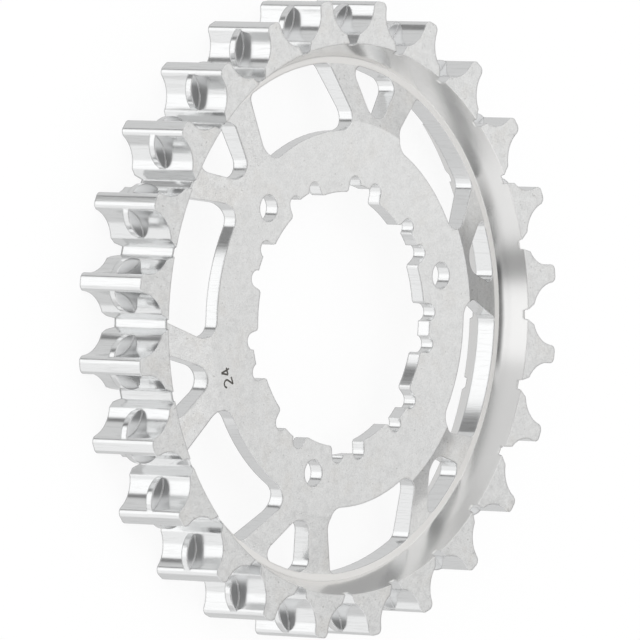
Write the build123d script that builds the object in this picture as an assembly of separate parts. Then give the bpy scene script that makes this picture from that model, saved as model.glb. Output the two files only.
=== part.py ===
"""Rear belt drive sprocket for a bicycle, machined from one piece of aluminium.

It lies on the back faces of its teeth. The axis of rotation is Z, the dished front face looks up,
and the origin is on the axis in the plane that it lies on. Sizes are in millimetres and degrees.
"""
import os
from math import pi, radians, sqrt, tan

from build123d import *

# Teeth and belt, with the width of a tip before it is rounded
TOOTH_COUNT = 24
BELT_PITCH = 11.0
TIP_BELOW_PITCH_LINE = 1.15
FACE_WIDTH = 10.25
TIP_WIDTH = 2.56
TIP_ROUND = 0.8

# Belt tooth cavity between two teeth, with the dirt groove at its bottom
CAVITY_CENTRE_BELOW_TIP = 0.62
GROOVE_MOUTH = 2.6
GROOVE_FLOOR = 1.1
GROOVE_DEPTH = 1.39

# Centre fin on each flank, which runs in the slot along the middle of the belt
FIN_THICKNESS = 1.0
FIN_RADIUS = 3.45
FIN_TOP_BELOW_TIP = 0.25

# Rim, whose inside is coned from both faces down to the web
FRONT_MOUTH_BELOW_TIP = 5.67
BACK_MOUTH_BELOW_TIP = 5.32
FRONT_CONE_NARROWING = 1.65
FRONT_CONE_DEPTH = 3.6
BACK_CONE_DEPTH = 3.5
LAND_WIDTH = 0.85

# Dished web and hub disc, whose edge lies outside the holes
HUB_BORDER = 2.125
HUB_FACE_PAST_WINDOWS = 1.3
HUB_BACK_PAST_WINDOWS = 0.5
HUB_DEPTH_BELOW_FRONT = 1.6
HUB_THICKNESS = 2.0

# Large windows in the web
SPOKE_GROUPS = 6
LARGE_WINDOW_WIDTH = 17.4
LARGE_WINDOW_SIDE_LEAN = 7.4
LARGE_WINDOW_INNER_ROUND = 2.2
LARGE_WINDOW_OUTER_ROUND = 1.2

# Small windows between them
SMALL_WINDOW_LENGTH = 6.25
SMALL_WINDOW_WIDTH = 8.0
SMALL_WINDOW_TIP_ROUND = 2.2
SMALL_WINDOW_SIDE_ROUND = 1.3

# Splined opening for the freehub
LUG_COUNT = 9
LUG_TIP_RADIUS = 16.25
LUG_HEIGHT = 1.15
SLOT_WIDTH = 6.3
RELIEF_RADIUS = 1.1
RELIEF_INSIDE_FLOOR = 0.2
LUG_CORNER_CUT = 0.25

# Small holes through the hub disc
HOLE_COUNT = 3
HOLE_DIAMETER = 3.45
HOLE_BORDER = 1.125

# Where the repeated features start, counted from +X
FIRST_TOOTH_ANGLE = 7.5
FIRST_SMALL_WINDOW_ANGLE = 15.0
FIRST_LUG_ANGLE = 15.0
FIRST_HOLE_ANGLE = 15.0

# How far a blank or a cut is drawn past what it trims, and how close a corner is to its circle
OVERRUN = 1.0
ON_CIRCLE = 0.01

# Worked out from the sizes above
PITCH_RADIUS = TOOTH_COUNT * BELT_PITCH / (2 * pi)
TIP_RADIUS = PITCH_RADIUS - TIP_BELOW_PITCH_LINE
TOOTH_STEP = 360.0 / TOOTH_COUNT
CAVITY_CENTRE_RADIUS = TIP_RADIUS - CAVITY_CENTRE_BELOW_TIP
CAVITY_RADIUS = pi * TIP_RADIUS / TOOTH_COUNT - TIP_WIDTH / 2
FRONT_MOUTH_RADIUS = TIP_RADIUS - FRONT_MOUTH_BELOW_TIP
BACK_MOUTH_RADIUS = TIP_RADIUS - BACK_MOUTH_BELOW_TIP
RIM_WAIST_RADIUS = FRONT_MOUTH_RADIUS - FRONT_CONE_NARROWING
WINDOW_OUTER_RADIUS = RIM_WAIST_RADIUS - LAND_WIDTH
SLOT_FLOOR_RADIUS = LUG_TIP_RADIUS + LUG_HEIGHT
RELIEF_CENTRE_RADIUS = SLOT_FLOOR_RADIUS - RELIEF_INSIDE_FLOOR
HOLE_CIRCLE_RADIUS = SLOT_FLOOR_RADIUS + HOLE_BORDER + HOLE_DIAMETER / 2
LARGE_WINDOW_INNER_RADIUS = HOLE_CIRCLE_RADIUS + HOLE_DIAMETER / 2 + HUB_BORDER
HUB_FACE_RADIUS = LARGE_WINDOW_INNER_RADIUS + HUB_FACE_PAST_WINDOWS
HUB_BACK_RADIUS = LARGE_WINDOW_INNER_RADIUS + HUB_BACK_PAST_WINDOWS
HUB_TOP = FACE_WIDTH - HUB_DEPTH_BELOW_FRONT
HUB_BOTTOM = HUB_TOP - HUB_THICKNESS
WAIST_TOP = FACE_WIDTH - FRONT_CONE_DEPTH
WAIST_BOTTOM = BACK_CONE_DEPTH


def around(shape, count, first_angle):
    """Copies of a shape, drawn on the +X axis, evenly spaced round the axis of rotation."""
    step = 360.0 / count
    return [Rot(0, 0, first_angle + step * i) * shape for i in range(count)]


def near_radius(vertices, radius):
    """The vertices that lie on a circle round the axis of rotation."""
    return [v for v in vertices if abs(sqrt(v.X**2 + v.Y**2) - radius) < ON_CIRCLE]


def groove(outer_radius):
    """The tapered groove at the bottom of a gap, drawn on the +X axis and open at a radius."""
    half_mouth = GROOVE_MOUTH / 2
    mouth = CAVITY_CENTRE_RADIUS - sqrt(CAVITY_RADIUS**2 - half_mouth**2)
    floor = mouth - GROOVE_DEPTH
    return make_face(Polyline(
        (outer_radius, half_mouth),
        (mouth, half_mouth),
        (floor, GROOVE_FLOOR / 2),
        (floor, -GROOVE_FLOOR / 2),
        (mouth, -half_mouth),
        (outer_radius, -half_mouth),
        close=True,
    ))


def gap_between_teeth():
    """One belt tooth cavity with its groove, drawn on the +X axis."""
    cavity = Pos(CAVITY_CENTRE_RADIUS, 0) * Circle(CAVITY_RADIUS)
    return cavity + groove(CAVITY_CENTRE_RADIUS)


def tooth_outline():
    """The outline of the toothed rim, with rounded tips."""
    disc = Circle(TIP_RADIUS)
    gaps = around(gap_between_teeth(), TOOTH_COUNT, FIRST_TOOTH_ANGLE + TOOTH_STEP / 2)
    toothed = disc - gaps
    return fillet(near_radius(toothed.vertices(), TIP_RADIUS), TIP_ROUND)


def fin_outline(teeth):
    """The outline of the rim at its middle, where a fin bulges from each flank."""
    fin_centre = TIP_RADIUS - FIN_TOP_BELOW_TIP - FIN_RADIUS
    fin = Pos(fin_centre, 0) * Circle(FIN_RADIUS)
    fins = around(fin, TOOTH_COUNT, FIRST_TOOTH_ANGLE)
    grooves = around(groove(TIP_RADIUS), TOOTH_COUNT, FIRST_TOOTH_ANGLE + TOOTH_STEP / 2)
    return (teeth + fins) - grooves


def section():
    """Half the section through the axis: rim, dished web and hub disc."""
    return make_face(Polyline(
        (0, HUB_BOTTOM),
        (0, HUB_TOP),
        (HUB_FACE_RADIUS, HUB_TOP),
        (WINDOW_OUTER_RADIUS, WAIST_TOP),
        (RIM_WAIST_RADIUS, WAIST_TOP),
        (FRONT_MOUTH_RADIUS, FACE_WIDTH),
        (TIP_RADIUS + OVERRUN, FACE_WIDTH),
        (TIP_RADIUS + OVERRUN, 0),
        (BACK_MOUTH_RADIUS, 0),
        (RIM_WAIST_RADIUS, WAIST_BOTTOM),
        (HUB_BACK_RADIUS, HUB_BOTTOM),
        close=True,
    ))


def large_window():
    """One large window, drawn on the +X axis."""
    lean = tan(radians(LARGE_WINDOW_SIDE_LEAN))
    widest_at = LARGE_WINDOW_INNER_RADIUS + LARGE_WINDOW_INNER_ROUND
    inner_x = sqrt(LARGE_WINDOW_INNER_RADIUS**2 - LARGE_WINDOW_WIDTH**2 / 4) - OVERRUN
    outer_x = WINDOW_OUTER_RADIUS + OVERRUN
    half_inner = LARGE_WINDOW_WIDTH / 2 + (widest_at - inner_x) * lean
    half_outer = LARGE_WINDOW_WIDTH / 2 - (outer_x - widest_at) * lean
    wedge = make_face(Polyline(
        (inner_x, half_inner),
        (outer_x, half_outer),
        (outer_x, -half_outer),
        (inner_x, -half_inner),
        close=True,
    ))
    window = wedge & (Circle(WINDOW_OUTER_RADIUS) - Circle(LARGE_WINDOW_INNER_RADIUS))
    window = fillet(near_radius(window.vertices(), LARGE_WINDOW_INNER_RADIUS), LARGE_WINDOW_INNER_ROUND)
    return fillet(near_radius(window.vertices(), WINDOW_OUTER_RADIUS), LARGE_WINDOW_OUTER_ROUND)


def small_window():
    """One small window, a rounded triangle that points at the hub, drawn on the +X axis."""
    tip_centre = WINDOW_OUTER_RADIUS - SMALL_WINDOW_LENGTH + SMALL_WINDOW_TIP_ROUND
    side_y = SMALL_WINDOW_WIDTH / 2 - SMALL_WINDOW_SIDE_ROUND
    side_x = sqrt((WINDOW_OUTER_RADIUS - SMALL_WINDOW_SIDE_ROUND)**2 - side_y**2)
    corners = [Pos(tip_centre, 0) * Circle(SMALL_WINDOW_TIP_ROUND)]
    corners += [Pos(side_x, y) * Circle(SMALL_WINDOW_SIDE_ROUND) for y in (side_y, -side_y)]
    flare = 1 + 2 * SMALL_WINDOW_SIDE_ROUND / side_x
    outer_side = make_face(Polyline(
        (side_x, side_y),
        (side_x * flare, side_y * flare),
        (side_x * flare, -side_y * flare),
        (side_x, -side_y),
        close=True,
    )) & Circle(WINDOW_OUTER_RADIUS)
    return make_hull([circle.edge() for circle in corners]) + outer_side


def freehub_opening():
    """The splined opening: nine broad slots with a relief in each corner."""
    half_slot = SLOT_WIDTH / 2
    relief_offset = half_slot - RELIEF_RADIUS
    mouth = make_face(Polyline(
        (0, half_slot),
        (RELIEF_CENTRE_RADIUS, half_slot),
        (RELIEF_CENTRE_RADIUS, -half_slot),
        (0, -half_slot),
        close=True,
    ))
    middle = make_face(Polyline(
        (0, relief_offset),
        (SLOT_FLOOR_RADIUS + OVERRUN, relief_offset),
        (SLOT_FLOOR_RADIUS + OVERRUN, -relief_offset),
        (0, -relief_offset),
        close=True,
    )) & Circle(SLOT_FLOOR_RADIUS)
    slot = mouth + middle
    for side in (-1, 1):
        slot += Pos(RELIEF_CENTRE_RADIUS, side * relief_offset) * Circle(RELIEF_RADIUS)
    slots = around(slot, LUG_COUNT, FIRST_LUG_ANGLE + 180.0 / LUG_COUNT)
    opening = Circle(LUG_TIP_RADIUS) + slots
    return chamfer(near_radius(opening.vertices(), LUG_TIP_RADIUS), LUG_CORNER_CUT)


def sprocket():
    """The whole sprocket, one solid."""
    teeth = tooth_outline()
    middle = (FACE_WIDTH - FIN_THICKNESS) / 2
    blank = extrude(teeth, FACE_WIDTH) + Pos(0, 0, middle) * extrude(fin_outline(teeth), FIN_THICKNESS)
    turned = revolve(Plane.XZ * section(), Axis.Z)
    hole = Pos(HOLE_CIRCLE_RADIUS, 0) * Circle(HOLE_DIAMETER / 2)
    openings = [freehub_opening()]
    openings += around(large_window(), SPOKE_GROUPS, FIRST_SMALL_WINDOW_ANGLE + 180.0 / SPOKE_GROUPS)
    openings += around(small_window(), SPOKE_GROUPS, FIRST_SMALL_WINDOW_ANGLE)
    openings += around(hole, HOLE_COUNT, FIRST_HOLE_ANGLE)
    return (blank & turned) - [extrude(opening, FACE_WIDTH) for opening in openings]


os.makedirs("parts", exist_ok=True)
result = sprocket()
export_step(result, "parts/belt_sprocket.step")
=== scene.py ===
"""Looks of a bicycle belt drive sprocket that lies on a pale floor in soft studio light.

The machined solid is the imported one. This script gives it its satin, turned and milled finishes,
adds the etched tooth count, and sets up the floor, the lamps and the camera of the photograph.
Sizes are in millimetres unless a name says otherwise, and Blender's own are in metres.
"""
from __future__ import annotations

import logging
import math
from dataclasses import dataclass, field
from enum import Enum
from typing import Any, Union

import bpy
from mathutils import Matrix, Vector


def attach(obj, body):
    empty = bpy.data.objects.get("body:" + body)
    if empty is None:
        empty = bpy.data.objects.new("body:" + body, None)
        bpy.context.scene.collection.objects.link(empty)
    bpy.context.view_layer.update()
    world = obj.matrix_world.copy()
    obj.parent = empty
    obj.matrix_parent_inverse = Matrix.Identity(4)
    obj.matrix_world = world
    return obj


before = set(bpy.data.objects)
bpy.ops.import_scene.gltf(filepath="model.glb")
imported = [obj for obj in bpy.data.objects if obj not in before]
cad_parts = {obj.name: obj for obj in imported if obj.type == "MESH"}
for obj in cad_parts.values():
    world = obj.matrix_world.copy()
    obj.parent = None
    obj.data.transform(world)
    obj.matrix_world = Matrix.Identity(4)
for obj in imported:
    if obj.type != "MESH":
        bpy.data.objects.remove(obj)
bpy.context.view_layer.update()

LOG = logging.getLogger("sprocket_looks")
MM = 0.001
NOISE_MIDDLE = 0.5
Number = Union[float, "Signal"]
Colour = tuple[float, float, float, float]


class Coordinate(Enum):
    """Outputs of the texture coordinate node that the finishes use."""

    OBJECT = "Object"
    NORMAL = "Normal"
    DIRECTION = "Generated"


class LampPlace(Enum):
    """The soft boxes round the table."""

    OVERHEAD = "soft_box_overhead"
    LEFT = "soft_box_left"
    RIGHT = "soft_box_right"


class Signal:
    """A shader socket that takes part in Python expressions."""

    def __init__(self, graph: "ShaderGraph", socket: bpy.types.NodeSocket) -> None:
        """Wraps one output socket.

        Args:
            graph: The graph that the socket belongs to.
            socket: The output socket.
        """
        self.graph = graph
        self.socket = socket

    def _math(self, operation: str, first: Number, second: Number = 0.0) -> "Signal":
        """Adds one Math node.

        Args:
            operation: The node's operation.
            first: Its first value or link.
            second: Its second value or link.

        Returns:
            The node's output.
        """
        return self.graph.node("ShaderNodeMath", {"operation": operation}, {0: first, 1: second})

    def __add__(self, other: Number) -> "Signal":
        """The sum of two values."""
        return self._math("ADD", self, other)

    def __radd__(self, other: Number) -> "Signal":
        """The sum, with the plain number first."""
        return self._math("ADD", other, self)

    def __sub__(self, other: Number) -> "Signal":
        """The difference of two values."""
        return self._math("SUBTRACT", self, other)

    def __rsub__(self, other: Number) -> "Signal":
        """The difference, with the plain number first."""
        return self._math("SUBTRACT", other, self)

    def __mul__(self, other: Number) -> "Signal":
        """The product of two values."""
        return self._math("MULTIPLY", self, other)

    def __rmul__(self, other: Number) -> "Signal":
        """The product, with the plain number first."""
        return self._math("MULTIPLY", other, self)

    def __truediv__(self, other: Number) -> "Signal":
        """The quotient of two values."""
        return self._math("DIVIDE", self, other)

    def __abs__(self) -> "Signal":
        """The size of a value without its sign."""
        return self._math("ABSOLUTE", self)

    def power(self, exponent: float) -> "Signal":
        """The value raised to a power."""
        return self._math("POWER", self, exponent)

    def sign(self) -> "Signal":
        """1 above zero and -1 below it."""
        return self._math("SIGN", self)

    def ramp(self, low: float, high: float) -> "Signal":
        """A smooth step: 0 at low and 1 at high.

        Args:
            low: Where the step starts.
            high: Where it ends, which may be below low.

        Returns:
            The step.
        """
        settings = {"interpolation_type": "SMOOTHSTEP"}
        if low <= high:
            return self.graph.node("ShaderNodeMapRange", settings, {"Value": self, 1: low, 2: high})
        falling = {"Value": self, 1: high, 2: low, 3: 1.0, 4: 0.0}
        return self.graph.node("ShaderNodeMapRange", settings, falling)

    def band(self, low: float, high: float, soft: float) -> "Signal":
        """1 between two values and 0 outside them.

        Args:
            low: The band's lower edge.
            high: Its upper edge.
            soft: How wide each edge is.

        Returns:
            The band.
        """
        return self.ramp(low - soft, low) * self.ramp(high + soft, high)


class ShaderGraph:
    """The node tree of one material or world, filled by one method."""

    def __init__(self, tree: bpy.types.NodeTree) -> None:
        """Empties a node tree.

        Args:
            tree: The tree to fill.
        """
        self.tree = tree
        tree.nodes.clear()

    def node(
        self,
        kind: str,
        settings: dict[str, Any] | None = None,
        inputs: dict[Any, Any] | None = None,
        output: str | int = 0,
    ) -> Signal:
        """Adds a node.

        Args:
            kind: The node's type.
            settings: Its properties, which are set first.
            inputs: The values or links of its sockets, by name or number.
            output: The output that is handed back.

        Returns:
            The chosen output.
        """
        made = self.tree.nodes.new(kind)
        for name, value in (settings or {}).items():
            setattr(made, name, value)
        for key, value in (inputs or {}).items():
            socket = made.inputs[key]
            if isinstance(value, Signal):
                self.tree.links.new(value.socket, socket)
            else:
                socket.default_value = value
        chosen = made.outputs[output] if len(made.outputs) else None
        return Signal(self, chosen)

    def place(self, which: Coordinate) -> Signal:
        """A coordinate of the surface, in the part's own frame."""
        return self.node("ShaderNodeTexCoord", output=which.value)

    def split(self, vector: Signal) -> tuple[Signal, Signal, Signal]:
        """The three components of a vector.

        Args:
            vector: The vector.

        Returns:
            Its X, Y and Z.
        """
        first = self.node("ShaderNodeSeparateXYZ", inputs={0: vector})
        outputs = first.socket.node.outputs
        return first, Signal(self, outputs[1]), Signal(self, outputs[2])

    def joined(self, x: Number, y: Number, z: Number) -> Signal:
        """A vector made of three values."""
        return self.node("ShaderNodeCombineXYZ", inputs={0: x, 1: y, 2: z})

    def scaled(self, vector: Signal, factors: tuple[float, float, float]) -> Signal:
        """A vector times one factor for each axis."""
        return self.node("ShaderNodeVectorMath", {"operation": "MULTIPLY"}, {0: vector, 1: factors})

    def dot(self, first: Signal, second: Signal) -> Signal:
        """The dot product of two vectors."""
        sockets = {0: first, 1: second}
        return self.node("ShaderNodeVectorMath", {"operation": "DOT_PRODUCT"}, sockets, output="Value")

    def blend(self, factor: Number, first: Signal, second: Signal) -> Signal:
        """A mix of two vectors.

        Args:
            factor: 0 gives the first vector and 1 the second.
            first: A vector.
            second: A vector.

        Returns:
            The mixed vector.
        """
        inputs = {0: factor, 4: first, 5: second}
        return self.node("ShaderNodeMix", {"data_type": "VECTOR"}, inputs, output=1)

    def mix(self, factor: Number, first: Any, second: Any) -> Signal:
        """A mix of two colours.

        Args:
            factor: 0 gives the first colour and 1 the second.
            first: A colour or a link.
            second: A colour or a link.

        Returns:
            The mixed colour.
        """
        return self.node("ShaderNodeMix", {"data_type": "RGBA"}, {0: factor, 6: first, 7: second}, output=2)

    def noise(self, vector: Signal, per_mm: float, detail: float, roughness: float = 0.5) -> Signal:
        """Soft noise.

        Args:
            vector: Where it is read, in metres.
            per_mm: Its scale, in patches to the millimetre.
            detail: How many finer layers it has.
            roughness: How strong the finer layers are.

        Returns:
            The noise, about 0.5 on average.
        """
        sockets = {"Vector": vector, "Scale": per_mm / MM, "Detail": detail, "Roughness": roughness}
        return self.node("ShaderNodeTexNoise", inputs=sockets)

    def ray_kinds(self) -> tuple[Signal, Signal]:
        """Tells rays from the camera and rays in bare metal from the light that falls on things.

        Returns:
            1 for camera rays, and 1 for glossy rays.
        """
        camera = self.node("ShaderNodeLightPath", output="Is Camera Ray")
        outputs = camera.socket.node.outputs
        return camera, Signal(self, outputs["Is Glossy Ray"])


@dataclass(frozen=True)
class SprocketSizes:
    """Sizes that the finishes follow, in the part's own frame."""

    hub_top: float = 8.65
    hub_radius: float = 25.4
    hub_edge: float = 0.6
    land_inner: float = 32.7
    land_outer: float = 33.55
    land_low: float = 6.50
    land_high: float = 6.80
    land_edge: float = 0.08
    fin_low: float = 4.60
    fin_high: float = 5.65
    fin_root: float = 34.0
    fin_full: float = 34.5
    height_edge: float = 0.05


@dataclass(frozen=True)
class Texture:
    """One scale of soft noise in a finish."""

    per_mm: float
    detail: float
    roughness: float = 0.5

    def read(self, graph: ShaderGraph, place: Signal) -> Signal:
        """The noise at a place."""
        return graph.noise(place, self.per_mm, self.detail, self.roughness)


@dataclass(frozen=True)
class Step:
    """A smooth step that a signal makes between two values."""

    start: float
    end: float
    share: float = 1.0

    def of(self, signal: Signal) -> Signal:
        """0 at the start, and the share at the end."""
        return signal.ramp(self.start, self.end) * self.share


@dataclass(frozen=True)
class SurfacePoint:
    """A point of the surface as the shader reads it, in the part's own frame."""

    graph: ShaderGraph
    place: Signal
    x: Signal
    y: Signal
    radius: Signal
    height: Signal
    normal: Signal
    rise: Signal

    @classmethod
    def read(cls, graph: ShaderGraph) -> "SurfacePoint":
        """Adds the nodes that read the point.

        Args:
            graph: The material's graph.

        Returns:
            The point, with its radius and height in millimetres.
        """
        place = graph.place(Coordinate.OBJECT)
        x, y, z = graph.split(place)
        radius = (x * x + y * y).power(0.5) / MM
        normal = graph.place(Coordinate.NORMAL)
        return cls(graph, place, x, y, radius, z / MM, normal, graph.split(normal)[2])


@dataclass(frozen=True)
class Regions:
    """Where each kind of surface is: 1 on it and 0 off it."""

    face: Signal
    wall: Signal
    cone: Signal
    web: Signal
    land: Signal
    fins: Signal

    def plain(self) -> Signal:
        """The faces and the dished web, without the fins."""
        return self.face - self.fins

    def flat(self) -> Signal:
        """The level faces of the hub and the teeth."""
        return self.plain() - self.web


@dataclass(frozen=True)
class MetalMarks:
    """What machining and handling left in the metal, each about 0.5 on average."""

    grain: Signal
    mottle: Signal
    stain: Signal
    pits: Signal
    rings: Signal
    mill: Signal


@dataclass(frozen=True)
class SatinAluminium:
    """Bare aluminium: satin faces, milled flanks and turned cones, all one alloy."""

    name: str = "machined_aluminium"
    face_colour: Colour = (0.822, 0.824, 0.818, 1.0)
    pale_colour: Colour = (0.970, 0.972, 0.966, 1.0)
    dull_colour: Colour = (0.590, 0.590, 0.586, 1.0)
    warm_colour: Colour = (0.760, 0.738, 0.705, 1.0)
    pit_colour: Colour = (0.360, 0.352, 0.335, 1.0)
    wall_colour: Colour = (0.866, 0.872, 0.874, 1.0)
    cone_colour: Colour = (0.892, 0.889, 0.882, 1.0)
    land_colour: Colour = (0.905, 0.894, 0.877, 1.0)
    fin_colour: Colour = (0.800, 0.804, 0.808, 1.0)
    # Colour of the painted shade in tight corners.
    shade_colour: Colour = (0.130, 0.132, 0.135, 1.0)
    metal: float = 1.0

    face_lean: Step = Step(0.80, 0.90)
    wall_lean: Step = Step(0.20, 0.10)
    web_lean: Step = Step(0.985, 0.975)

    grain: Texture = Texture(per_mm=7.0, detail=4.0, roughness=0.75)
    mottle: Texture = Texture(per_mm=1.1, detail=5.0, roughness=0.70)
    stain: Texture = Texture(per_mm=0.22, detail=4.0, roughness=0.60)
    pits: Texture = Texture(per_mm=2.3, detail=2.0)
    rings: Texture = Texture(per_mm=6.0, detail=2.0)
    mill: Texture = Texture(per_mm=4.0, detail=2.0)
    mill_stretch: tuple[float, float, float] = (1.0, 1.0, 0.07)

    stain_warm: Step = Step(0.50, 0.66, share=0.60)
    stain_dull: Step = Step(0.50, 0.34, share=0.22)
    grain_pale: Step = Step(0.50, 0.66)
    grain_dull: Step = Step(0.50, 0.32, share=0.85)
    mottle_pale: Step = Step(0.50, 0.66, share=0.35)
    mottle_dull: Step = Step(0.50, 0.32, share=0.40)
    pits_dark: Step = Step(0.33, 0.27, share=0.55)
    mill_dull: Step = Step(0.50, 0.32, share=0.16)
    # Painted light: the level faces are paler towards one side of the part and duller towards the other, as
    # if lit from that side.
    side_light_along_x: float = 0.50
    side_light_along_y: float = 0.87
    side_light_reach: float = 40.0
    side_light_pale: float = 0.30
    side_shade_dull: float = 0.18
    hub_pale: float = 0.18
    web_dull: float = 0.18

    face_roughness: float = 0.50
    web_roughness: float = 0.30
    wall_roughness: float = 0.16
    cone_roughness: float = 0.19
    grain_roughness: float = 0.10
    mill_roughness: float = 0.08
    ring_roughness: float = 0.04

    bump_strength: float = 0.25
    bump_depth: float = 0.02
    mill_relief: float = 0.45
    ring_relief: float = 0.08
    edge_round: float = 0.34
    edge_samples: int = 6
    turned_trust: Step = Step(0.93, 0.97)
    # Painted shade: tight corners, found by ambient occlusion, are darkened towards the shade colour.
    corner_reach: float = 0.9
    corner_samples: int = 5
    corner_painted_shade: Step = Step(0.60, 0.15, share=0.70)
    cone_rise_low: float = 0.25
    cone_rise_high: float = 0.60
    cone_rise_edge: float = 0.05
    foot_width: float = 0.55
    foot_tilt: float = 0.115
    foot_side: Step = Step(32.2, 33.4)

    def material(self, sizes: SprocketSizes) -> bpy.types.Material:
        """Builds the material.

        Args:
            sizes: The sizes that its regions follow.

        Returns:
            The finished material.
        """
        made = bpy.data.materials.new(self.name)
        made.use_nodes = True
        graph = ShaderGraph(made.node_tree)
        point = SurfacePoint.read(graph)
        regions = self._regions(point, sizes)
        marks = self._marks(point)
        shader = graph.node(
            "ShaderNodeBsdfPrincipled",
            inputs={
                "Base Color": self._colour(point, regions, marks, sizes),
                "Metallic": self.metal,
                "Roughness": self._roughness(regions, marks),
                "Normal": self._normal(point, regions, marks, sizes),
            },
        )
        graph.node("ShaderNodeOutputMaterial", inputs={"Surface": shader})
        return made

    def _regions(self, point: SurfacePoint, sizes: SprocketSizes) -> Regions:
        """Tells the kinds of surface apart by their lean and their place.

        Args:
            point: The point of the surface.
            sizes: The sizes that the regions follow.

        Returns:
            The regions.
        """
        lean = abs(point.rise)
        face = self.face_lean.of(lean)
        wall = self.wall_lean.of(lean)
        land_height = point.height.band(sizes.land_low, sizes.land_high, sizes.height_edge)
        land_width = point.radius.band(sizes.land_inner, sizes.land_outer, sizes.land_edge)
        fin_height = point.height.band(sizes.fin_low, sizes.fin_high, sizes.height_edge)
        return Regions(
            face=face,
            wall=wall,
            cone=(1.0 - face) * (1.0 - wall),
            web=face * self.web_lean.of(lean),
            land=face * land_height * land_width,
            fins=face * fin_height * point.radius.ramp(sizes.fin_root, sizes.fin_full),
        )

    def _marks(self, point: SurfacePoint) -> MetalMarks:
        """Reads the noise of each kind of mark.

        Args:
            point: The point of the surface.

        Returns:
            The marks: rings follow radius and height, and milled lines hardly vary with height.
        """
        graph, place = point.graph, point.place
        section = graph.joined(point.radius * MM, 0.0, point.height * MM)
        return MetalMarks(
            grain=self.grain.read(graph, place),
            mottle=self.mottle.read(graph, place),
            stain=self.stain.read(graph, place),
            pits=self.pits.read(graph, place),
            rings=self.rings.read(graph, section),
            mill=self.mill.read(graph, graph.scaled(place, self.mill_stretch)),
        )

    def _colour(
        self, point: SurfacePoint, regions: Regions, marks: MetalMarks, sizes: SprocketSizes
    ) -> Signal:
        """Lays the colours over each other, from the bare face to the corners, with painted light from one
        side on the level faces and painted shade in tight corners.

        Args:
            point: The point of the surface.
            regions: The kinds of surface.
            marks: The marks in the metal.
            sizes: The sizes that the hub's edge follows.

        Returns:
            The colour.
        """
        plain, flat = regions.plain(), regions.flat()
        # Painted light: a gradient across the part that stands in for light falling from one side.
        across = (point.x * self.side_light_along_x + point.y * self.side_light_along_y) / MM
        lit = across.ramp(-self.side_light_reach, self.side_light_reach)
        hub = point.radius.ramp(sizes.hub_radius + sizes.hub_edge, sizes.hub_radius)
        layers = (
            (regions.wall, self.wall_colour),
            (regions.cone, self.cone_colour),
            (plain * self.stain_warm.of(marks.stain), self.warm_colour),
            (plain * self.stain_dull.of(marks.stain), self.dull_colour),
            (plain * self.grain_pale.of(marks.grain), self.pale_colour),
            (plain * self.grain_dull.of(marks.grain), self.dull_colour),
            (plain * self.mottle_pale.of(marks.mottle), self.pale_colour),
            (plain * self.mottle_dull.of(marks.mottle), self.dull_colour),
            (plain * self.pits_dark.of(marks.pits), self.pit_colour),
            # Painted light and shade on the level faces: paler on the lit side and duller on the other. The
            # hub is also made paler.
            (flat * (lit * self.side_light_pale + hub * self.hub_pale), self.pale_colour),
            (flat * (1.0 - lit) * self.side_shade_dull, self.dull_colour),
            (regions.web * self.web_dull, self.dull_colour),
            (regions.wall * self.mill_dull.of(marks.mill), self.dull_colour),
            (regions.fins, self.fin_colour),
            (regions.land, self.land_colour),
            # Painted shade: tight corners are darkened from ambient occlusion.
            (self._corner_shade(point.graph), self.shade_colour),
        )
        colour: Any = self.face_colour
        for share, layer in layers:
            colour = point.graph.mix(share, colour, layer)
        return colour

    def _roughness(self, regions: Regions, marks: MetalMarks) -> Signal:
        """How matt each kind of surface is, with the slight change that its marks make.

        Args:
            regions: The kinds of surface.
            marks: The marks in the metal.

        Returns:
            The roughness.
        """
        matt = self.face_roughness * regions.flat() + self.web_roughness * (regions.web + regions.fins)
        matt = matt + self.wall_roughness * regions.wall + self.cone_roughness * regions.cone
        matt = matt + (marks.grain - NOISE_MIDDLE) * self.grain_roughness * regions.face
        matt = matt + (marks.mill - NOISE_MIDDLE) * self.mill_roughness * regions.wall
        return matt + (marks.rings - NOISE_MIDDLE) * self.ring_roughness * regions.cone

    def _normal(
        self, point: SurfacePoint, regions: Regions, marks: MetalMarks, sizes: SprocketSizes
    ) -> Signal:
        """The normal, with rounded edges, true turned surfaces and the marks' fine relief.

        Args:
            point: The point of the surface.
            regions: The kinds of surface.
            marks: The marks in the metal.
            sizes: The sizes that say where the front cone starts.

        Returns:
            The normal.
        """
        graph = point.graph
        rounded = graph.node(
            "ShaderNodeBevel", {"samples": self.edge_samples}, {"Radius": self.edge_round * MM}
        )
        turned = self._turned_normal(point, sizes)
        smooth = (regions.cone + regions.web) * self.turned_trust.of(graph.dot(rounded, turned))
        relief = regions.face * (1.0 - regions.land) * marks.grain
        relief = relief + regions.wall * marks.mill * self.mill_relief
        relief = relief + regions.cone * marks.rings * self.ring_relief
        return graph.node(
            "ShaderNodeBump",
            inputs={
                "Strength": self.bump_strength,
                "Distance": self.bump_depth * MM,
                "Height": relief,
                "Normal": graph.blend(smooth, rounded, turned),
            },
        )

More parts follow.
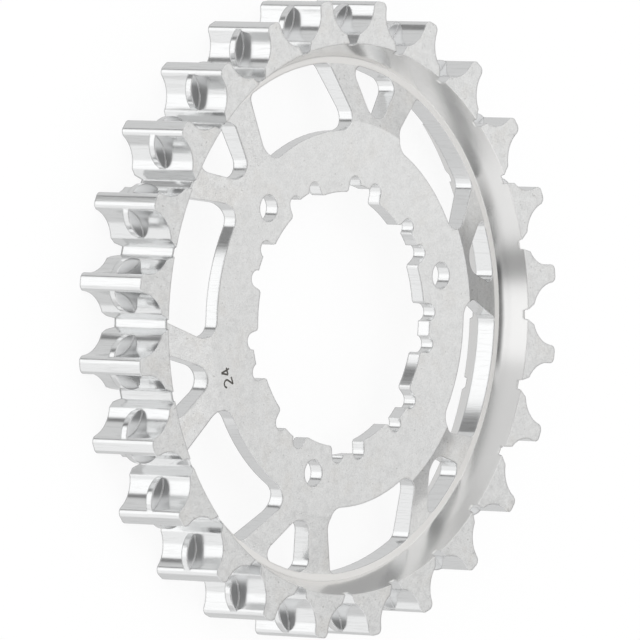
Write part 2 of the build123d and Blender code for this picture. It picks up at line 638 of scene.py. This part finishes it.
    def _turned_normal(self, point: SurfacePoint, sizes: SprocketSizes) -> Signal:
        """The true normal of a turned surface, with no trace of the mesh's flats.

        The foot of the front cone runs out in a small radius on one side.

        Args:
            point: The point of the surface.
            sizes: The sizes that say where the foot of the front cone is.

        Returns:
            The normal in world space.
        """
        graph, x, y = point.graph, point.x, point.y
        foot = point.rise.band(self.cone_rise_low, self.cone_rise_high, self.cone_rise_edge)
        foot = foot * point.radius.ramp(sizes.land_outer + self.foot_width, sizes.land_outer)
        rise = point.rise + foot * self.foot_side.of(x / MM) * self.foot_tilt
        radial = graph.node("ShaderNodeVectorMath", {"operation": "NORMALIZE"}, {0: graph.joined(x, y, 0.0)})
        outward = graph.dot(radial, point.normal).sign() * (1.0 - rise * rise).power(0.5)
        across = graph.node("ShaderNodeVectorMath", {"operation": "SCALE"}, {0: radial, "Scale": outward})
        exact = graph.node("ShaderNodeVectorMath", inputs={0: across, 1: graph.joined(0.0, 0.0, rise)})
        settings = {"vector_type": "NORMAL", "convert_from": "OBJECT", "convert_to": "WORLD"}
        return graph.node("ShaderNodeVectorTransform", settings, {0: exact})

    def _corner_shade(self, graph: ShaderGraph) -> Signal:
        """How much painted shade a place gets when it lies deep in a tight corner.

        Args:
            graph: The material's graph.

        Returns:
            0 in the open and up to the corner's share in a tight corner.
        """
        open_sky = graph.node(
            "ShaderNodeAmbientOcclusion",
            {"samples": self.corner_samples, "only_local": True},
            {"Distance": self.corner_reach * MM},
            output="AO",
        )
        return self.corner_painted_shade.of(open_sky)


@dataclass(frozen=True)
class EtchedMark:
    """The dark satin of laser-etched figures."""

    name: str = "etched_figures"
    colour: Colour = (0.060, 0.056, 0.050, 1.0)
    worn_colour: Colour = (0.180, 0.172, 0.160, 1.0)
    metal: float = 0.2
    roughness: float = 0.65
    speckle: Texture = Texture(per_mm=6.0, detail=3.0)
    speckle_worn: Step = Step(0.45, 0.75)
    speckle_roughness: float = 0.1

    def material(self) -> bpy.types.Material:
        """Builds the material.

        Returns:
            The finished material.
        """
        made = bpy.data.materials.new(self.name)
        made.use_nodes = True
        graph = ShaderGraph(made.node_tree)
        speckle = self.speckle.read(graph, graph.place(Coordinate.OBJECT))
        colour = graph.mix(self.speckle_worn.of(speckle), self.colour, self.worn_colour)
        roughness = self.roughness + speckle * self.speckle_roughness
        shader = graph.node(
            "ShaderNodeBsdfPrincipled",
            inputs={"Base Color": colour, "Metallic": self.metal, "Roughness": roughness},
        )
        graph.node("ShaderNodeOutputMaterial", inputs={"Surface": shader})
        return made


@dataclass(frozen=True)
class WhiteTable:
    """The pale floor's finish: plain white, with a light shadow where the part keeps light off."""

    name: str = "white_table"
    colour: Colour = (0.86, 0.86, 0.86, 1.0)
    white: Colour = (1.0, 1.0, 1.0, 1.0)
    roughness: float = 0.9
    fibre: Texture = Texture(per_mm=0.02, detail=2.0)
    fibre_share: float = 0.05
    seen_white: float = 0.90

    def material(self) -> bpy.types.Material:
        """Builds the material.

        Returns:
            The finished material.
        """
        made = bpy.data.materials.new(self.name)
        made.use_nodes = True
        graph = ShaderGraph(made.node_tree)
        fibre = self.fibre.read(graph, graph.place(Coordinate.OBJECT))
        colour = graph.mix(fibre * self.fibre_share, self.colour, self.white)
        paper = graph.node(
            "ShaderNodeBsdfPrincipled", inputs={"Base Color": colour, "Roughness": self.roughness}
        )
        glow = graph.node("ShaderNodeEmission", inputs={"Color": self.white, "Strength": 1.0})
        clear = graph.node("ShaderNodeBsdfTransparent")
        camera, glossy = graph.ray_kinds()
        lit = graph.node("ShaderNodeMixShader", inputs={0: camera * self.seen_white, 1: paper, 2: glow})
        surface = graph.node("ShaderNodeMixShader", inputs={0: glossy, 1: lit, 2: clear})
        graph.node("ShaderNodeOutputMaterial", inputs={"Surface": surface})
        return made


@dataclass
class MachinedSprocket:
    """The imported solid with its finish."""

    node: str = "belt_sprocket"
    sizes: SprocketSizes = field(default_factory=SprocketSizes)
    finish: SatinAluminium = field(default_factory=SatinAluminium)

    def dress(self) -> bpy.types.Object:
        """Puts the finish on the solid.

        Returns:
            The dressed object.
        """
        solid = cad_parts[self.node]
        solid.data.materials.clear()
        solid.data.materials.append(self.finish.material(self.sizes))
        return solid


@dataclass
class ToothCountMark:
    """The plain number of teeth, 24, engraved in single strokes on the hub disc."""

    height: float = 1.56
    width: float = 0.96
    spacing: float = 1.46
    stroke: float = 0.25
    stroke_resolution: int = 2
    proud: float = 0.012
    centre_x: float = -22.17
    centre_y: float = -6.98
    reading_deg: float = 112.0
    bowl_start_deg: float = 165.0
    bowl_end_deg: float = -38.0
    bowl_steps: int = 14
    stem_share: float = 0.68
    bar_share: float = 0.30
    sizes: SprocketSizes = field(default_factory=SprocketSizes)
    finish: EtchedMark = field(default_factory=EtchedMark)

    def build(self) -> bpy.types.Object:
        """Makes the figures as flat round-edged strokes on the hub's face.

        Returns:
            The mark, riding on the sprocket.
        """
        curve = bpy.data.curves.new("tooth_count_strokes", "CURVE")
        curve.dimensions = "3D"
        curve.bevel_depth = self.stroke * MM / 2
        curve.bevel_resolution = self.stroke_resolution
        curve.use_fill_caps = True
        for left, strokes in ((-self.spacing / 2, self._two()), (self.spacing / 2, self._four())):
            for path in strokes:
                self._add_stroke(curve, left, path)
        drawn = bpy.data.objects.new("tooth_count_strokes", curve)
        bpy.context.scene.collection.objects.link(drawn)
        bpy.context.view_layer.update()
        mesh = bpy.data.meshes.new_from_object(drawn)
        bpy.data.objects.remove(drawn)
        mesh.transform(Matrix.Diagonal((1.0, 1.0, 2.0 * self.proud / self.stroke, 1.0)))
        mesh.materials.clear()
        mesh.materials.append(self.finish.material())
        mark = bpy.data.objects.new("tooth_count_mark", mesh)
        bpy.context.scene.collection.objects.link(mark)
        turn = Matrix.Rotation(math.radians(self.reading_deg), 4, "Z")
        spot = Vector((self.centre_x, self.centre_y, self.sizes.hub_top)) * MM
        mark.matrix_world = Matrix.Translation(spot) @ turn
        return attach(mark, "root")

    def _two(self) -> list[list[tuple[float, float]]]:
        """The figure two: a bowl that runs down to the left, and a foot.

        Returns:
            Its strokes, about the middle of the figure.
        """
        bowl = self.width / 2
        crown = self.height / 2 - bowl
        foot = -self.height / 2
        sweep = self.bowl_end_deg - self.bowl_start_deg
        turns = [self.bowl_start_deg + sweep * step / self.bowl_steps for step in range(self.bowl_steps + 1)]
        arc = [(bowl * math.cos(math.radians(t)), crown + bowl * math.sin(math.radians(t))) for t in turns]
        return [arc + [(-bowl, foot)], [(-bowl, foot), (bowl, foot)]]

    def _four(self) -> list[list[tuple[float, float]]]:
        """The figure four: a stem, a slope and a bar.

        Returns:
            Its strokes, about the middle of the figure.
        """
        side = self.width / 2
        stem = self.width * self.stem_share - side
        bar = self.height * self.bar_share - self.height / 2
        top = self.height / 2
        return [[(stem, -top), (stem, top)], [(stem, top), (-side, bar)], [(-side, bar), (side, bar)]]

    def _add_stroke(self, curve: bpy.types.Curve, left: float, path: list[tuple[float, float]]) -> None:
        """Adds one stroke to the drawing.

        Args:
            curve: The drawing.
            left: How far the figure's middle lies along the line of figures.
            path: The stroke's points, about the figure's middle.
        """
        spline = curve.splines.new("POLY")
        spline.points.add(len(path) - 1)
        for point, (along, up) in zip(spline.points, path):
            point.co = ((left + along) * MM, up * MM, 0.0, 1.0)


@dataclass
class PhotoCamera:
    """The camera of the photograph, in the part's frame."""

    azimuth_deg: float = -49.21
    elevation_deg: float = 1.82
    roll_deg: float = 0.49
    distance: float = 1800.0
    pixels_per_mm: float = 7.838
    image_pixels: float = 640.0
    axis_pixel_x: float = 351.26
    axis_pixel_y: float = 319.46
    aim_height: float = 10.25
    sensor: float = 36.0
    clip_start_m: float = 0.05
    clip_end_m: float = 10.0

    def build(self) -> bpy.types.Object:
        """Makes the camera and looks through it.

        Returns:
            The camera.
        """
        azimuth = math.radians(self.azimuth_deg)
        elevation = math.radians(self.elevation_deg)
        roll = math.radians(self.roll_deg)
        back = Vector(
            (
                math.sin(azimuth) * math.cos(elevation),
                math.sin(elevation),
                math.cos(azimuth) * math.cos(elevation),
            )
        )
        level = Vector((0.0, 1.0, 0.0)).cross(back).normalized()
        upright = back.cross(level)
        right = math.cos(roll) * level + math.sin(roll) * upright
        up = math.cos(roll) * upright - math.sin(roll) * level
        middle = self.image_pixels / 2
        aside = (middle - self.axis_pixel_x) / self.pixels_per_mm
        above = (self.axis_pixel_y - middle) / self.pixels_per_mm
        aim = Vector((0.0, 0.0, self.aim_height)) + right * aside + up * above
        spot = (aim + back * self.distance) * MM
        lens = bpy.data.cameras.new("photo_camera")
        lens.sensor_width = self.sensor
        lens.lens = self.pixels_per_mm * self.distance * self.sensor / self.image_pixels
        lens.clip_start = self.clip_start_m
        lens.clip_end = self.clip_end_m
        made = bpy.data.objects.new("photo_camera", lens)
        bpy.context.scene.collection.objects.link(made)
        turn = Matrix((right, up, back)).transposed().to_4x4()
        made.matrix_world = Matrix.Translation(spot) @ turn
        bpy.context.scene.camera = made
        return made


@dataclass(frozen=True)
class Panel:
    """A reflector or a dark screen that stands far off and shows in the metal."""

    heading_deg: float
    half_width_deg: float
    low: float
    high: float
    change: float
    soft_deg: float = 12.0
    soft_rise: float = 0.12

    def strength(self, graph: ShaderGraph, direction: Signal) -> Signal:
        """How much the panel adds to the room's light in a direction.

        Args:
            graph: The room's graph.
            direction: Where a reflected ray goes.

        Returns:
            The change in strength, which is below zero for a dark screen.
        """
        x, y, z = graph.split(direction)
        level = (x * x + y * y).power(0.5)
        heading = math.radians(self.heading_deg)
        along = (x * math.cos(heading) + y * math.sin(heading)) / level
        edge = math.cos(math.radians(self.half_width_deg + self.soft_deg))
        core = math.cos(math.radians(self.half_width_deg))
        return along.ramp(edge, core) * z.band(self.low, self.high, self.soft_rise) * self.change


@dataclass(frozen=True)
class StudioRoom:
    """The room: white to look at, softly graded in the metal, and even as fill light."""

    fill: float = 0.90
    low_level: float = 0.68
    rise: float = 0.34
    rise_from: float = 0.05
    rise_to: float = 0.60
    fall: float = 0.10
    fall_from: float = 0.72
    fall_to: float = 0.98
    panels: tuple[Panel, ...] = (
        Panel(heading_deg=164.0, half_width_deg=22.0, low=-0.85, high=-0.45, change=0.47, soft_deg=6.0),
        Panel(heading_deg=129.0, half_width_deg=5.0, low=-0.85, high=-0.45, change=-0.44, soft_deg=5.0),
        Panel(heading_deg=218.0, half_width_deg=26.0, low=-0.85, high=-0.45, change=0.26, soft_deg=8.0),
        Panel(heading_deg=179.0, half_width_deg=12.0, low=0.02, high=0.26, change=0.36, soft_deg=5.0),
        Panel(heading_deg=201.0, half_width_deg=3.5, low=-0.05, high=0.30, change=-0.38, soft_deg=4.5),
        Panel(heading_deg=244.0, half_width_deg=30.0, low=-0.20, high=0.16, change=0.22, soft_deg=8.0),
        Panel(heading_deg=34.0, half_width_deg=28.0, low=-0.50, high=-0.22, change=-0.28, soft_deg=12.0),
        Panel(heading_deg=-20.0, half_width_deg=26.0, low=-0.50, high=0.40, change=-0.42, soft_deg=16.0),
        Panel(heading_deg=-34.0, half_width_deg=14.0, low=0.40, high=0.80, change=-0.16, soft_deg=12.0),
        Panel(heading_deg=22.0, half_width_deg=14.0, low=0.40, high=0.80, change=-0.12, soft_deg=12.0),
        Panel(heading_deg=180.0, half_width_deg=38.0, low=0.38, high=0.70, change=-0.84, soft_deg=32.0),
        Panel(heading_deg=180.0, half_width_deg=40.0, low=0.82, high=0.92, change=-0.52, soft_deg=18.0),
    )
    strip_first_deg: float = 100.0
    strip_step_deg: float = 20.0
    strip_count: int = 7
    strip_half_width_deg: float = 5.0
    strip_low: float = -0.38
    strip_high: float = -0.12
    strip_dark: float = -0.36
    strip_light: float = 0.26
    strip_soft_deg: float = 6.0
    strip_soft_rise: float = 0.08

    def strips(self) -> list[Panel]:
        """Upright dark and light strips just below the horizon, which stripe the teeth from the side.

        Returns:
            The strips, dark and light in turn, with a dark one first.
        """
        return [
            Panel(
                heading_deg=self.strip_first_deg + self.strip_step_deg * number,
                half_width_deg=self.strip_half_width_deg,
                low=self.strip_low,
                high=self.strip_high,
                change=self.strip_light if number % 2 else self.strip_dark,
                soft_deg=self.strip_soft_deg,
                soft_rise=self.strip_soft_rise,
            )
            for number in range(self.strip_count)
        ]

    def build(self) -> bpy.types.World:
        """Makes the room's light.

        Returns:
            The world.
        """
        world = bpy.data.worlds.new("studio_room")
        world.use_nodes = True
        graph = ShaderGraph(world.node_tree)
        direction = graph.place(Coordinate.DIRECTION)
        height = graph.split(direction)[2]
        mirrored = height.ramp(self.rise_from, self.rise_to) * self.rise + self.low_level
        mirrored = mirrored - height.ramp(self.fall_from, self.fall_to) * self.fall
        for panel in (*self.panels, *self.strips()):
            mirrored = mirrored + panel.strength(graph, direction)
        camera, glossy = graph.ray_kinds()
        fill = (1.0 - camera) * (1.0 - glossy) * self.fill
        sky = graph.node(
            "ShaderNodeBackground", inputs={"Color": camera + glossy * mirrored + fill, "Strength": 1.0}
        )
        graph.node("ShaderNodeOutputWorld", inputs={"Surface": sky})
        return world


@dataclass(frozen=True)
class SoftBox:
    """A square lamp that points at the part."""

    spot: tuple[float, float, float]
    side: float
    watts: float


@dataclass
class Studio:
    """The table, the soft boxes and the room round them."""

    table_half_width: float = 1500.0
    room: StudioRoom = field(default_factory=StudioRoom)
    table: WhiteTable = field(default_factory=WhiteTable)
    lamps: dict[LampPlace, SoftBox] = field(
        default_factory=lambda: {
            LampPlace.OVERHEAD: SoftBox(spot=(-100.0, 150.0, 700.0), side=500.0, watts=1.2),
            LampPlace.LEFT: SoftBox(spot=(-500.0, 350.0, 400.0), side=400.0, watts=0.8),
            LampPlace.RIGHT: SoftBox(spot=(250.0, -650.0, 420.0), side=350.0, watts=0.5),
        }
    )

    def build(self) -> None:
        """Sets up everything that isn't the sprocket."""
        self._lay_table()
        for place, box in self.lamps.items():
            self._hang_soft_box(place, box)
        bpy.context.scene.world = self.room.build()
        bpy.context.scene.view_settings.view_transform = "Standard"

    def _lay_table(self) -> None:
        """Makes the floor that the part lies on."""
        half = self.table_half_width * MM
        mesh = bpy.data.meshes.new("table")
        corners = [(-half, -half, 0.0), (half, -half, 0.0), (half, half, 0.0), (-half, half, 0.0)]
        mesh.from_pydata(corners, [], [(0, 1, 2, 3)])
        mesh.materials.append(self.table.material())
        table = bpy.data.objects.new("table", mesh)
        bpy.context.scene.collection.objects.link(table)

    def _hang_soft_box(self, place: LampPlace, box: SoftBox) -> None:
        """Hangs one soft box.

        Args:
            place: Which lamp it is.
            box: Where it hangs, its side and its power.
        """
        light = bpy.data.lights.new(place.value, "AREA")
        light.shape = "SQUARE"
        light.size = box.side * MM
        light.energy = box.watts
        lamp = bpy.data.objects.new(place.value, light)
        bpy.context.scene.collection.objects.link(lamp)
        where = Vector(box.spot) * MM
        lamp.location = where
        lamp.rotation_euler = (-where).to_track_quat("-Z", "Y").to_euler()
        lamp.visible_glossy = False


def main() -> None:
    """Dresses the sprocket, adds its mark and sets up the studio."""
    logging.basicConfig(level=logging.INFO)
    solid = MachinedSprocket().dress()
    LOG.info("dressed %s", solid.name)
    mark = ToothCountMark().build()
    LOG.info("added %s", mark.name)
    Studio().build()
    camera = PhotoCamera().build()
    LOG.info("placed %s", camera.name)


if __name__ == "__main__":
    main()
